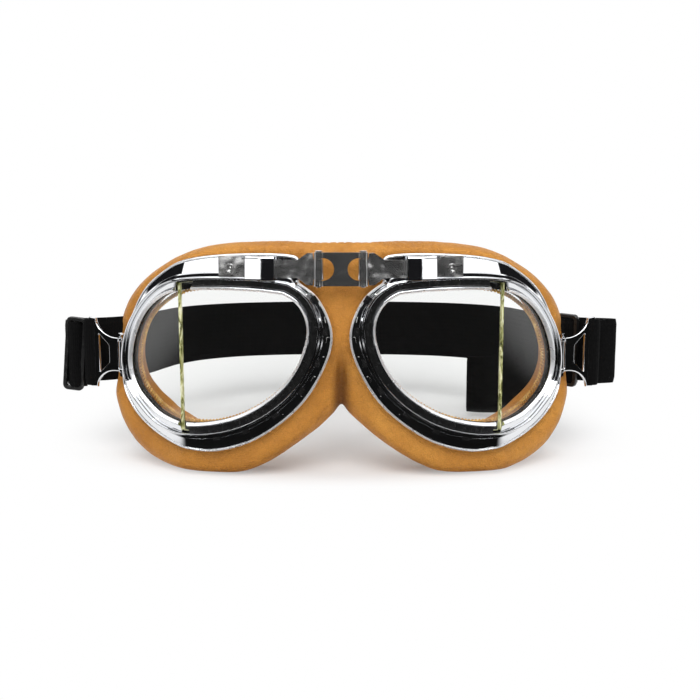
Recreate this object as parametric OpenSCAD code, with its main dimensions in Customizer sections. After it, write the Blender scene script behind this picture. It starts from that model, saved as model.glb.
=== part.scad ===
// Motorcycle goggles with split lenses, hinged nose bridge, leather pads and elastic head strap.
// +X is the viewer's right when facing the lenses, +Y points to the wearer, +Z is up.

/* [Face curve] */
// Heading of the front panes away from straight ahead
front_heading = 8; // [6:0.5:9]
// Heading of the side panes
side_heading = 40; // [38:0.5:42]
// Heading of the outer end of the frames
outer_heading = 70; // [68:0.5:72]

/* [Frames] */
// Height of the frame wall above the lens surface
wall_top = 3.0; // [2.8:0.1:3.2]
// Height of the bead round the eye opening
bead_top = 2.7; // [2.3:0.1:2.9]
// Thickness of the glass
glass_t = 1.6; // [1.2:0.1:1.6]

/* [Bridge] */
// Distance from the middle to each hinge pin
pin_x = 8.5; // [8.3:0.1:8.7]
// Height of the bridge above the ground
bridge_z = 86.4; // [86:0.1:87]
// Radius of the hinge pins
pin_r = 0.9; // [0.8:0.05:1]
// Radial play of pins and bars in their bores
play = 0.05; // [0.03:0.01:0.08]
// Height of the sliding part of the arms
arm_h = 7; // [6.6:0.1:7.2]

/* [Pads] */
// Depth of the pads behind the frames at the nose
pad_nose_depth = 27; // [25:0.5:28]
// Depth of the pads at the temples
pad_temple_depth = 55; // [54:0.5:56]
// Thickness of the leather cover
leather_t = 1.4; // [1.2:0.1:1.6]

/* [Strap] */
// Width of the webbing
strap_w = 28; // [26:0.5:29]
// Thickness of the webbing
strap_t = 1.6; // [1.4:0.1:1.8]

/* [Hidden] */

// Distance from the front of the curve to the middle of the whole object
row_mid = 77.35;

// The lens surface is a bent strip: [length, heading at its start, heading at its end]
FACE = [
    [62, front_heading, front_heading],
    [4, front_heading, side_heading],
    [31.5, side_heading, side_heading],
    [4, side_heading, outer_heading],
    [40, outer_heading, outer_heading]
];
// Where the two flat panes of an eye meet, along the strip, and the gap left at their joint
fold_u = 64;
fold_gap = 0.35;

// Outlines of one eye as [distance along the strip, height], from the nose over the top
OPENING = [
    [13, 61], [15, 69.4], [18.5, 73.5], [21.5, 75.2], [24, 76.1], [36, 77.1], [62.5, 77.3],
    [75.4, 72.8], [86.5, 63.8], [93.6, 47.8], [90.5, 35.8], [82.7, 29.6], [75.5, 25.8],
    [63.5, 23.8], [53, 24.3], [39.5, 27.9], [25.6, 37.1], [17, 48.3]
];
FLANGE = [
    [2.4, 60.3], [7.6, 73.8], [13.3, 79], [16.2, 81.4], [17, 90.6], [31, 92.1], [59, 90.4],
    [74, 83.8], [88.5, 73.3], [102, 47], [100.5, 32.8], [92, 22.6], [77.7, 15.6],
    [60, 12], [50, 11.9], [34.7, 16.6], [16.8, 30.1], [6.8, 45.8]
];
// Outline of one pad as [x, height], matched to the two above
PAD = [
    [2.4, 60], [2.4, 78], [3, 91.6], [9, 95], [17, 95.6], [31, 95.6], [54, 93.6],
    [72, 86], [88.9, 71.6], [96.8, 48], [97.3, 29], [90.6, 12], [77.5, 2.4],
    [62, 0.2], [50, 0.2], [36, 1.8], [16, 15], [3, 32]
];
SPANS = len(OPENING);
FRONT_END_TOP = 5.92;
FRONT_END_LOW = 13.12;
SIDE_END_TOP = 6.25;
SIDE_END_LOW = 12.88;

// Route of the head strap on one side, from the clip to the back of the head
STRAP_SIDE = [
    [106.8, 49.4, 45], [113, 50.7, 45], [117.7, 52, 45], [118.3, 53.8, 45], [113.6, 55.4, 45],
    [104, 57.4, 45], [95.5, 65, 44.6], [89, 81, 43.6], [85, 99, 42.4]
];
STRAP_REAR = [
    [84.8, 100, 42.3], [80, 116, 41.4], [70, 134, 40.2], [52, 149, 39.2], [27, 156, 38.8], [0, 158, 38.6]
];
STRAP_TAIL = [
    [93.4, 63.6, 41], [88.6, 72, 36], [83.6, 86, 27.5], [77, 102, 19], [70, 115, 14.9], [62, 122, 14]
];

// Clip: where its bar stands, its heading in plan and its middle height
clip_at = [93.2, 37.4];
clip_heading = 28;
clip_z = 46;
clip_t = 1.4;
clip_bar_r = 0.9;

function mix(a, b, f) = a + (b - a) * f;

function step_xy(s, run) =
    s[1] == s[2] ? run * [cos(s[1]), sin(s[1])]
    : let (rate = (s[2] - s[1]) / s[0], a = s[1] + rate * run, r = 180 / (PI * rate))
        r * [sin(a) - sin(s[1]), cos(s[1]) - cos(a)];

function face_xy(u, i = 0) =
    i == len(FACE) - 1 || u <= FACE[i][0] ? step_xy(FACE[i], u)
    : step_xy(FACE[i], FACE[i][0]) + face_xy(u - FACE[i][0], i + 1);

function face_angle(u, i = 0) =
    i == len(FACE) - 1 || u <= FACE[i][0] ? mix(FACE[i][1], FACE[i][2], max(u, 0) / FACE[i][0])
    : face_angle(u - FACE[i][0], i + 1);

// A point [u, height] of the strip, lifted by w towards the viewer
function wrap(p, w) =
    let (xy = face_xy(p[0]), a = face_angle(p[0])) [xy[0] + w * sin(a), xy[1] - w * cos(a), p[1]];

// Cardinal spline through four points
function spline(a, b, c, d, f, pull = 0.42) =
    let (m = (c - a) * pull, n = (d - b) * pull)
        (2 * f ^ 3 - 3 * f ^ 2 + 1) * b + (f ^ 3 - 2 * f ^ 2 + f) * m
        + (3 * f ^ 2 - 2 * f ^ 3) * c + (f ^ 3 - f ^ 2) * n;

function at(outline, t) =
    let (n = len(outline), i = floor(t))
        spline(outline[(i - 1 + n) % n], outline[i % n], outline[(i + 1) % n], outline[(i + 2) % n], t - i);

// A point beside the eye opening: d outwards plus s times the way to the flange's edge
function band(t, d, s = 0) =
    let (o = at(OPENING, t), v = at(FLANGE, t) - o) o + v / norm(v) * d + v * s;

function round_trip(step) = [for (t = [0:step:SPANS - step / 2]) t];
function stretch(from, to) = concat(
    [from], [for (t = [ceil(from * 4 + 0.2) / 4:0.25:to - 0.03]) t], [to]);

function face_rings(ts, section) =
    [for (t = ts) [for (q = section) wrap(band(t, q[0], q[1]), q[2])]];

// A skin over rings of points, closed on itself or capped at both ends
module skin(rings, closed = true) {
    n = len(rings);
    m = len(rings[0]);
    points = [for (r = rings) each r];
    sides = [
        for (i = [0:closed ? n - 1 : n - 2], j = [0:m - 1])
            let (a = i * m + j, b = i * m + (j + 1) % m, c = (i + 1) % n * m + (j + 1) % m, d = (i + 1) % n * m + j)
                each [[a, b, c], [a, c, d]]
    ];
    caps = closed ? [] : [[for (j = [m - 1:-1:0]) j], [for (j = [0:m - 1]) (n - 1) * m + j]];
    polyhedron(points, concat(sides, caps), convexity = 10);
}

module right() {
    translate([0, -row_mid, 0]) children();
}

module left() {
    translate([0, -row_mid, 0]) mirror([1, 0, 0]) children();
}

// Local frame on the flat front of an eye: x along the strip, -y towards the viewer
module on_front() {
    rotate([0, 0, front_heading]) children();
}

module frame_shell() {
    section = [
        [4.5, 0, wall_top], [5.3, 0, wall_top], [5.7, 0, 0.9], [-1, 1, 0.4], [0, 1, -0.3], [0, 1, -1.1],
        [-0.7, 1, -1.7], [5.7, 0, -0.3], [5.3, 0, -3], [4.5, 0, -3]
    ];
    color("silver") skin(face_rings(round_trip(0.25), section));
}

module lens_seat() {
    section = [[0.4, 0, -1.1], [4.4, 0, -1.1], [4.4, 0, -2.9], [0.4, 0, -2.9]];
    color("dimgray") skin(face_rings(round_trip(0.25), section));
}

module rim(from, to) {
    section = [
        [0, 0, 1.15], [0.4, 0, bead_top], [1.5, 0, bead_top], [1.9, 0, 1.9], [4.4, 0, 1.9], [4.4, 0, 1.15]
    ];
    color("silver") skin(face_rings(stretch(from, to), section), closed = false);
}

module front_rim() {
    rim(FRONT_END_LOW, SPANS + FRONT_END_TOP);
}

module side_rim() {
    rim(SIDE_END_TOP, SIDE_END_LOW);
}

module pane_outline() {
    polygon([for (t = round_trip(0.25)) band(t, 3.7)]);
}

module front_lens() {
    color("lightcyan", 0.4)
        on_front() rotate([90, 0, 0]) translate([0, 0, -glass_t / 2])
            linear_extrude(glass_t) intersection() {
                pane_outline();
                square([fold_u - fold_gap, 120]);
            }
}

module side_lens() {
    bend_end = FACE[0][0] + FACE[1][0];
    pane_at = face_xy(bend_end);
    color("lightcyan", 0.4)
        translate([pane_at[0], pane_at[1], 0]) rotate([0, 0, side_heading]) rotate([90, 0, 0])
            translate([-bend_end, 0, -glass_t / 2]) linear_extrude(glass_t) intersection() {
                pane_outline();
                translate([fold_u + fold_gap, 0]) square([60, 120]);
            }
}

// Small bent tabs that lock the flange to the lens ring
module rim_tabs() {
    color("gray") for (t = [0.1, 1.2, 14.1, 14.9, 15.6, 16.4, 17.2]) {
        inner = band(t, 6);
        out = band(t, 7) - inner;
        p = wrap(band(t, 6.9), 1.3);
        translate(p) rotate([0, 0, face_angle(inner[0])]) rotate([0, -atan2(out[1], out[0]), 0])
            cube([1.8, 0.5, 3], center = true);
    }
}

// Box loop on the frame that the arm slides in
sleeve_from = 25.4;
sleeve_len = 11.4;
arm_w = 3.4;
arm_t = 1.2;
module bridge_sleeve() {
    outer_h = arm_h + 2.4;
    color("silver") on_front() translate([sleeve_from, -arm_w - 1.9, bridge_z - outer_h / 2])
        difference() {
            cube([sleeve_len, 3.8, outer_h]);
            translate([-1, 1.15, 1.1]) cube([sleeve_len + 2, 1.5, arm_h + 0.2]);
            translate([-1, 2.2, -1]) cube([sleeve_len + 2, 3, 2.15]);
        }
}

pin_y = -2.2;
knuckle_r = 1.9;
knuckle_gap = 8.4;
link_h = 13;

// Flat arm: barrel on the hinge pin, flared neck, sliding strip and end stop with its dimple
module bridge_arm() {
    stop_from = sleeve_from + sleeve_len + 1.6;
    pin_u = pin_x * cos(front_heading) + pin_y * sin(front_heading);
    barrel_h = knuckle_gap - 0.3;
    neck = barrel_h / 2 - 0.3;
    color("lightgray") difference() {
        union() {
            on_front() rotate([90, 0, 0]) translate([0, 0, arm_w - arm_t / 2]) linear_extrude(arm_t)
                difference() {
                    union() {
                        polygon([
                            [pin_u + 0.4, bridge_z - neck], [pin_u + 1.9, bridge_z - neck],
                            [pin_u + 2.2, bridge_z - 6.2], [pin_u + 4.4, bridge_z - 6.2],
                            [16.4, bridge_z - arm_h / 2], [stop_from + 9, bridge_z - arm_h / 2],
                            [stop_from + 9, bridge_z + arm_h / 2], [16.4, bridge_z + arm_h / 2],
                            [pin_u + 4.4, bridge_z + 6.2], [pin_u + 2.2, bridge_z + 6.2],
                            [pin_u + 1.9, bridge_z + neck], [pin_u + 0.4, bridge_z + neck]
                        ]);
                        translate([stop_from, bridge_z - arm_h / 2]) square([9, arm_h + 1.1]);
                    }
                    translate([stop_from + 4.5, bridge_z]) circle(r = 1.3, $fn = 24);
                }
            translate([pin_x, pin_y, bridge_z - barrel_h / 2]) cylinder(r = knuckle_r, h = barrel_h, $fn = 32);
        }
        translate([pin_x, pin_y, 0]) cylinder(r = pin_r + play, h = 120, $fn = 32);
    }
}

module hinge_pin() {
    color("gray") translate([pin_x, pin_y, bridge_z - link_h / 2 - 0.5]) {
        cylinder(r = pin_r, h = link_h + 1, $fn = 32);
        translate([0, 0, link_h + 0.6]) cylinder(r = 1.5, h = 0.5, $fn = 32);
    }
}

// Middle plate with a half round cut-out beside each pin
module bridge_link() {
    cut_r = 4.3;
    color("lightgray") difference() {
        union() {
            translate([-pin_x, pin_y - 0.6, bridge_z - link_h / 2]) cube([2 * pin_x, 1.2, link_h]);
            for (side = [-1, 1], end = [-1, 1])
                translate([side * pin_x, pin_y, bridge_z + end * (link_h + knuckle_gap) / 4])
                    cylinder(r = knuckle_r, h = (link_h - knuckle_gap) / 2, center = true, $fn = 32);
        }
        for (side = [-1, 1]) {
            translate([side * pin_x, pin_y, 0]) cylinder(r = pin_r + play, h = 120, $fn = 32);
            translate([side * (pin_x - 1.6), pin_y, bridge_z]) rotate([90, 0, 0])
                cylinder(r = cut_r, h = 6, center = true, $fn = 48);
            translate([side * (pin_x + 1) - 2.5, pin_y - 3, bridge_z - knuckle_gap / 2])
                cube([5, 6, knuckle_gap]);
        }
    }
}

// Depth of the pads' rear face, which follows the wearer's face
function rear_y(x) = mix(pad_nose_depth, pad_temple_depth, (x / 97) ^ 2);
// Room for the two pads to turn towards each other at the nose
function off_nose(p) = [max(p[0], 2.5 + 0.18 * max(p[1], 0)), p[1], p[2]];

// How far the clip presses the leather in: 1 beside the clip's bar, 0 away from it
function dent(p) = p[0] > 80 ? max(0, 1 - max(0, abs(p[1] - clip_z) - 9) / 13) : 0;

// Section of one pad: flange edge, roll, widest point, rear outer, rear inner, inner front
function pad_section(t) =
    let (
        front = wrap(band(t, -1, 1), -3.3),
        inner = wrap(band(t, 1.5), -3.8),
        p = at(PAD, t),
        y_back = rear_y(max(p[0], 0)),
        press = dent(p),
        wide = [p[0], (front[1] + y_back) / 2, p[1]] + press * [-2, 2.2, 0],
        roll = [mix(front[0], p[0], 0.6), front[1] + 1.2, mix(front[2], p[1], 0.6)] + press * [-3.4, 2.4, 0],
        back = [mix(p[0], front[0], 0.35), y_back, mix(p[1], front[2], 0.35)],
        splay = 5 * min(1, max(0, (inner[0] - 20) / 25)) / norm([p[0] - inner[0], p[1] - inner[2]]),
        deep = [
            inner[0] - 0.4 + splay * (p[0] - inner[0]), rear_y(inner[0]) - 0.5, inner[2] + splay * (p[1] - inner[2])
        ]
    ) [for (q = [front, roll, wide, back, deep, inner]) off_nose(q)];

function mean(points) = [for (k = [0:2]) [for (q = points) q[k]] * [for (q = points) 1 / len(points)]];
function shrink(points, by) =
    let (c = mean(points)) [for (q = points) c + (q - c) * (1 - by / norm(q - c))];

module pad_leather() {
    color("peru") skin([for (t = round_trip(1 / 3))
        let (s = pad_section(t), n = shrink(s, leather_t)) concat(s, [for (i = [5:-1:0]) n[i]])]);
}

module pad_foam() {
    color("khaki") skin([for (t = round_trip(1 / 3)) shrink(pad_section(t), leather_t + 1)]);
}

// Soft middle piece between the pads, wider towards the wearer
module nose_pad() {
    half_front = 2.5 + 0.18 * 4 - 0.45;
    half_rear = 2.5 + 0.18 * pad_nose_depth - 0.45;
    color("peru") translate([0, 0, 34]) linear_extrude(60.6)
        polygon([[-half_front, 4], [half_front, 4], [half_rear, pad_nose_depth], [-half_rear, pad_nose_depth]]);
}

module lens_stitching() {
    section = [[-0.5, 0, -3.2], [0.3, 0, -3.2], [0.3, 0, -4], [-0.5, 0, -4]];
    color("goldenrod") skin(face_rings(round_trip(1 / 3), section));
}

// Upright bar with two feet that hold it beyond the frame's outer edge
module clip_bar() {
    foot_z = 8.4;
    color("silver") translate([clip_at[0], clip_at[1], clip_z]) {
        cylinder(r = clip_bar_r, h = 2 * foot_z + 1.6, center = true, $fn = 32);
        for (end = [-1, 1])
            translate([0, 0, end * foot_z]) rotate([0, 0, outer_heading + 170])
                translate([0, -0.9, -0.7]) cube([3, 1.8, 1.4]);
    }
}

// Clip plate outline: barrel end, concave sides, wide outer bar
function clip_side() = concat(
    [[1, 7.2]],
    [for (a = [0:15:90]) [2.5 + 10.5 * sin(a) , 15.2 - 8 * cos(a)]],
    [[16.6, 15.2], [17.2, 14.4]]);

module strap_clip() {
    half = clip_side();
    outline = concat(half, [for (i = [len(half) - 1:-1:0]) [half[i][0], -half[i][1]]]);
    color("silver") translate([clip_at[0], clip_at[1], clip_z]) rotate([0, 0, clip_heading]) difference() {
        union() {
            rotate([90, 0, 0]) linear_extrude(clip_t, center = true) difference() {
                polygon(outline);
                polygon([[6.2, 3.6], [11.6, 8.4], [11.6, -8.4], [6.2, -3.6]]);
                translate([13.6, -14.1]) square([2.3, 28.2]);
            }
            cylinder(r = 1.9, h = 14.4, center = true, $fn = 32);
        }
        cylinder(r = clip_bar_r + play, h = 40, center = true, $fn = 32);
        translate([-1.3, -3, -6]) cube([2.5, 3, 12]);
        for (end = [-1, 1]) translate([-2, -3, end * 10.7 - 3.5]) cube([4.2, 6, 7]);
    }
}

// Webbing sewn into a loop round the clip's outer bar
module strap_loop() {
    color("#1a1a1a") translate([clip_at[0], clip_at[1], clip_z - 14]) rotate([0, 0, clip_heading])
        translate([16.55, 0, 0]) difference() {
            cylinder(r = 1.1 + strap_t, h = 28, $fn = 48);
            translate([0, 0, -1]) cylinder(r = 1.1, h = 30, $fn = 48);
        }
}

// Flat adjuster with three upright bars
module slider_plate(width) {
    rotate([90, 0, 0]) linear_extrude(1.4, center = true) difference() {
        square([width, strap_w + 3.6], center = true);
        for (side = [-1, 1]) translate([side * width / 4.4, 0]) square([width / 4.2, strap_w + 0.6], center = true);
    }
}

module strap_slider_left() {
    color("dimgray") translate([115.5, 48.9, 44.4]) rotate([0, 0, 8]) rotate([0, -5.5, 0]) slider_plate(9);
}

module strap_slider_right() {
    color("dimgray") translate([99, 58.1, 45]) rotate([0, 0, -44]) slider_plate(11);
}

// Webbing along a route: upright, of constant width
function route(points, steps) =
    let (n = len(points) - 1)
        [for (k = [0:n * steps])
            let (i = min(floor(k / steps), n - 1))
                spline(points[max(i - 1, 0)], points[i], points[i + 1], points[min(i + 2, n)], k / steps - i, 0.5)];

module webbing(line) {
    n = len(line) - 1;
    rings = [for (i = [0:n])
        let (
            d = line[min(i + 1, n)] - line[max(i - 1, 0)],
            side = [d[1], -d[0], 0] / norm([d[0], d[1]]) * strap_t / 2,
            rise = [0, 0, strap_w / 2]
        ) [line[i] + side + rise, line[i] - side + rise, line[i] - side - rise, line[i] + side - rise]];
    skin(rings, closed = false);
}

module strap_side() {
    color("#1a1a1a") webbing(route(STRAP_SIDE, 3));
}

module strap_rear() {
    half = route(STRAP_REAR, 3);
    other = [for (i = [len(half) - 2:-1:0]) [-half[i][0], half[i][1], half[i][2]]];
    color("#1a1a1a") webbing(concat(half, other));
}

module strap_tail() {
    color("#1a1a1a") webbing(route(STRAP_TAIL, 3));
}

left() frame_shell();  // frame_shell_left
right() frame_shell();  // frame_shell_right
left() lens_seat();  // lens_seat_left
right() lens_seat();  // lens_seat_right
left() front_rim();  // front_rim_left
right() front_rim();  // front_rim_right
left() side_rim();  // side_rim_left
right() side_rim();  // side_rim_right
left() front_lens();  // front_lens_left
right() front_lens();  // front_lens_right
left() side_lens();  // side_lens_left
right() side_lens();  // side_lens_right
left() rim_tabs();  // rim_tabs_left
right() rim_tabs();  // rim_tabs_right
left() bridge_sleeve();  // bridge_sleeve_left
right() bridge_sleeve();  // bridge_sleeve_right
left() bridge_arm();  // bridge_arm_left
right() bridge_arm();  // bridge_arm_right
left() hinge_pin();  // hinge_pin_left
right() hinge_pin();  // hinge_pin_right
right() bridge_link();
left() pad_leather();  // pad_leather_left
right() pad_leather();  // pad_leather_right
left() pad_foam();  // pad_foam_left
right() pad_foam();  // pad_foam_right
right() nose_pad();
left() lens_stitching();  // lens_stitching_left
right() lens_stitching();  // lens_stitching_right
left() clip_bar();  // clip_bar_left
right() clip_bar();  // clip_bar_right
left() strap_clip();  // strap_clip_left
right() strap_clip();  // strap_clip_right
left() strap_slider_left();
right() strap_slider_right();
left() strap_loop();  // strap_loop_left
right() strap_loop();  // strap_loop_right
left() strap_side();  // strap_side_left
right() strap_side();  // strap_side_right
right() strap_rear();
right() strap_tail();
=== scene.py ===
import math

import bmesh
import bpy
import numpy as np
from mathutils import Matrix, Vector, kdtree, noise


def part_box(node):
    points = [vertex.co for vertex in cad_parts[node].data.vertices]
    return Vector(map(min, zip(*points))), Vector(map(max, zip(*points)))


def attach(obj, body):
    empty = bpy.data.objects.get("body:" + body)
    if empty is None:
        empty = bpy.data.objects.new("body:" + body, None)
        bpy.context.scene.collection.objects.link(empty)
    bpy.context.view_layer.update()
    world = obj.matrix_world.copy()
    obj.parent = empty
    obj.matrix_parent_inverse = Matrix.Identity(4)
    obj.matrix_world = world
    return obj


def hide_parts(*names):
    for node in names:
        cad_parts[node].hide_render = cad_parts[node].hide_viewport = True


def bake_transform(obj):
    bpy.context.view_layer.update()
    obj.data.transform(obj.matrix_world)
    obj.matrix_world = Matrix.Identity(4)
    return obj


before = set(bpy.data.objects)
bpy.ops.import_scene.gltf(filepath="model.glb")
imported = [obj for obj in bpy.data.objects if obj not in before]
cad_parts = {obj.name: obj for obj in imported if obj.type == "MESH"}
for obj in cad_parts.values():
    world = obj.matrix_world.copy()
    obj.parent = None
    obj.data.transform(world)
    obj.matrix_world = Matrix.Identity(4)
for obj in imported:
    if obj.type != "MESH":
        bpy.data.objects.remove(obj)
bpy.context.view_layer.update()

MM = 0.001
SIDES = {"left": -1, "right": 1}

# ---- the row frame
# The design's own Y is zero at the front of the face curve; the hinge pins stand 2.2 mm before it.
pin_lo, pin_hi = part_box("hinge_pin_right")
FACE_Y = (pin_lo.y + pin_hi.y) / 2 / MM + 2.2
PIN_X = (pin_lo.x + pin_hi.x) / 2 / MM


def to_row(points, side=1):
    """Design millimetres to row metres; side -1 mirrors to the left."""
    p = np.array(points, float).reshape(-1, 3) * MM
    p[:, 0] *= side
    p[:, 1] += FACE_Y * MM
    return p


# ---- the face curve and its outlines
FACE = [(62, 8, 8), (4, 8, 40), (31.5, 40, 40), (4, 40, 70), (40, 70, 70)]
FOLD_U, FOLD_GAP = 64, 0.35
OPENING = np.array([
    (13, 61), (15, 69.4), (18.5, 73.5), (21.5, 75.2), (24, 76.1), (36, 77.1), (62.5, 77.3),
    (75.4, 72.8), (86.5, 63.8), (93.6, 47.8), (90.5, 35.8), (82.7, 29.6), (75.5, 25.8),
    (63.5, 23.8), (53, 24.3), (39.5, 27.9), (25.6, 37.1), (17, 48.3)], float)
FLANGE = np.array([
    (2.4, 60.3), (7.6, 73.8), (13.3, 79), (16.2, 81.4), (17, 90.6), (31, 92.1), (59, 90.4),
    (74, 83.8), (88.5, 73.3), (102, 47), (100.5, 32.8), (92, 22.6), (77.7, 15.6),
    (60, 12), (50, 11.9), (34.7, 16.6), (16.8, 30.1), (6.8, 45.8)], float)
# The leather's outline reaches past the middle, where the two pads grow together
PAD = np.array([
    (-5, 60), (-5, 78), (-5, 94.6), (5, 95.2), (17, 95.5), (31, 95.5), (54, 93.6),
    (72, 86), (88.9, 71.6), (96.8, 48), (97.3, 29), (90.6, 12), (77.5, 2.4),
    (62, 0.1), (50, 0.1), (36, 1.6), (15, 15.5), (-3, 31.5)], float)
SPANS = len(OPENING)
FRONT_ENDS = (13.12, 5.92 + SPANS)
SIDE_ENDS = (6.25, 12.88)


def step_xy(length, a0, a1, run):
    a0, a1 = math.radians(a0), math.radians(a1)
    if a0 == a1:
        return np.array([run * math.cos(a0), run * math.sin(a0)])
    rate = (a1 - a0) / length
    a = a0 + rate * run
    return np.array([math.sin(a) - math.sin(a0), math.cos(a0) - math.cos(a)]) / rate


def face_xy(u):
    xy = np.zeros(2)
    for i, (length, a0, a1) in enumerate(FACE):
        if u <= length or i == len(FACE) - 1:
            return xy + step_xy(length, a0, a1, u)
        xy = xy + step_xy(length, a0, a1, length)
        u -= length


def face_angle(u):
    for i, (length, a0, a1) in enumerate(FACE):
        if u <= length or i == len(FACE) - 1:
            return math.radians(a0 + (a1 - a0) * max(u, 0) / length)
        u -= length


def wrap(p, w):
    xy, a = face_xy(p[0]), face_angle(p[0])
    return np.array([xy[0] + w * math.sin(a), xy[1] - w * math.cos(a), p[1]])


def spline(a, b, c, d, f, pull=0.42):
    m, n = (c - a) * pull, (d - b) * pull
    return ((2 * f ** 3 - 3 * f ** 2 + 1) * b + (f ** 3 - 2 * f ** 2 + f) * m
            + (3 * f ** 2 - 2 * f ** 3) * c + (f ** 3 - f ** 2) * n)


# Table points for each span of an outline, and how often they are evened out
STEPS, SMOOTH_PASSES = 24, 130


def even_curve(outline, sharp=()):
    """A table of points round the outline, evened out except near the points named sharp."""
    n = len(outline)
    table = []
    for k in range(n * STEPS):
        i = k // STEPS
        corners = [outline[(i + j) % n] for j in (-1, 0, 1, 2)]
        table.append(spline(*corners, (k % STEPS) / STEPS, 0.46))
    table = np.array(table)
    gap = np.array([min([abs((k / STEPS - c + n / 2) % n - n / 2) for c in sharp] + [n])
                    for k in range(len(table))])
    share = 0.5 * np.clip((gap - 0.15) / 0.6, 0, 1)[:, None]
    for _ in range(SMOOTH_PASSES):
        table = (1 - share) * table + share * (np.roll(table, 1, 0) + np.roll(table, -1, 0)) / 2
    return table


CURVES = {id(OPENING): even_curve(OPENING, (4, 5)), id(FLANGE): even_curve(FLANGE, (3, 4)),
          id(PAD): even_curve(PAD)}


def at(outline, t):
    table = CURVES[id(outline)]
    k = t * STEPS
    i, f = int(math.floor(k)), k - math.floor(k)
    return (1 - f) * table[i % len(table)] + f * table[(i + 1) % len(table)]


def band(t, d, s=0.0):
    o = at(OPENING, t)
    v = at(FLANGE, t) - o
    return o + v / np.linalg.norm(v) * d + v * s


# ---- mesh building
def add_object(name, data):
    obj = bpy.data.objects.new(name, data)
    bpy.context.scene.collection.objects.link(obj)
    return obj


def new_mesh(name, verts, faces, mats, face_mats=None, smooth=True, uvs=None):
    me = bpy.data.meshes.new(name)
    me.from_pydata([tuple(v) for v in verts], [], [tuple(int(i) for i in f) for f in faces])
    for m in mats:
        me.materials.append(m)
    if face_mats is not None:
        me.polygons.foreach_set("material_index", np.array(face_mats, np.int32))
    me.polygons.foreach_set("use_smooth", [smooth] * len(me.polygons))
    if uvs is not None:
        layer = me.uv_layers.new(name="UVMap")
        loops = np.array([l.vertex_index for l in me.loops])
        layer.data.foreach_set("uv", np.array(uvs, np.float32)[loops].ravel())
    me.update()
    return add_object(name, me)


def face_out(obj):
    """Turns every face outwards."""
    bm = bmesh.new()
    bm.from_mesh(obj.data)
    bmesh.ops.recalc_face_normals(bm, faces=bm.faces)
    bm.to_mesh(obj.data)
    bm.free()
    return obj


def ring_faces(n, m, closed=False):
    """Faces between n rings of m points each, with a cap at both ends unless the last ring meets the first."""
    faces = []
    for i in range(n if closed else n - 1):
        k = (i + 1) % n
        for j in range(m):
            l = (j + 1) % m
            faces.append((i * m + j, i * m + l, k * m + l, k * m + j))
    if not closed:
        faces += [tuple(range(m - 1, -1, -1)), tuple((n - 1) * m + j for j in range(m))]
    return faces


def skin(name, rings, mats, side=1, closed=True, ring_mats=None, auto=None):
    """A surface over rings of points. ring_mats gives a material index for each step round a ring."""
    n, m = np.shape(rings)[:2]
    face_mats = (ring_mats or [0] * m) * (n if closed else n - 1) + ([] if closed else [0, 0])
    obj = face_out(new_mesh(name, to_row(rings, side), ring_faces(n, m, closed), mats, face_mats))
    return smooth_by_angle(obj, auto) if auto else obj


def joined(name, parts, mats, side, smooth=True):
    """One mesh from several (points, faces) parts in design millimetres."""
    verts, faces, base = [], [], 0
    for v, f in parts:
        verts.append(v)
        faces += [tuple(i + base for i in face) for face in f]
        base += len(v)
    return face_out(new_mesh(name, to_row(np.vstack(verts), side), faces, mats, smooth=smooth))


def angles(count):
    return np.arange(count) * 2 * math.pi / count


def smooth_by_angle(obj, degrees):
    """Marks edges sharper than the angle, so that shading breaks there."""
    bm = bmesh.new()
    bm.from_mesh(obj.data)
    limit = math.radians(degrees)
    for e in bm.edges:
        e.smooth = len(e.link_faces) == 2 and e.calc_face_angle(0) < limit
    bm.to_mesh(obj.data)
    bm.free()
    return obj


def soften(section, cut=0.25, steps=3):
    """Rounds the corners of a closed section of (d, s, w); returns points and the corner each belongs to."""
    pts = [np.array(q, float) for q in section]
    scale = np.array([1, 12, 1])
    out, owner = [], []
    n = len(pts)
    for i in range(n):
        p, before, after = pts[i], pts[i - 1], pts[(i + 1) % n]
        lb = np.linalg.norm((before - p) * scale)
        la = np.linalg.norm((after - p) * scale)
        b = p + (before - p) * min(0.45, cut / lb)
        a = p + (after - p) * min(0.45, cut / la)
        for k in range(steps + 1):
            f = k / steps
            out.append((1 - f) ** 2 * b + 2 * f * (1 - f) * p + f * f * a)
            owner.append(i)
    return out, owner


def rings_on_face(ts, section):
    return [[wrap(band(t, q[0], q[1]), q[2]) for q in section] for t in ts]


def bevel(obj, width, segments, degrees):
    m = obj.modifiers.new("bevel", "BEVEL")
    m.width, m.segments, m.limit_method, m.angle_limit = width * MM, segments, "ANGLE", math.radians(degrees)


def flat_faces(obj):
    """Lets the large faces decide the shading, so that they mirror as flats and only the corners turn."""
    m = obj.modifiers.new("flats", "WEIGHTED_NORMAL")
    m.weight, m.keep_sharp = 80, True
    return obj


def ride(obj, body, slot, *nodes):
    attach(obj, body)
    if nodes:
        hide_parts(*nodes)
    return obj


# ---- materials
def srgb(r, g, b):
    return tuple((c / 255) / 12.92 if c <= 10 else ((c / 255 + 0.055) / 1.055) ** 2.4 for c in (r, g, b)) + (1,)


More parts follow.
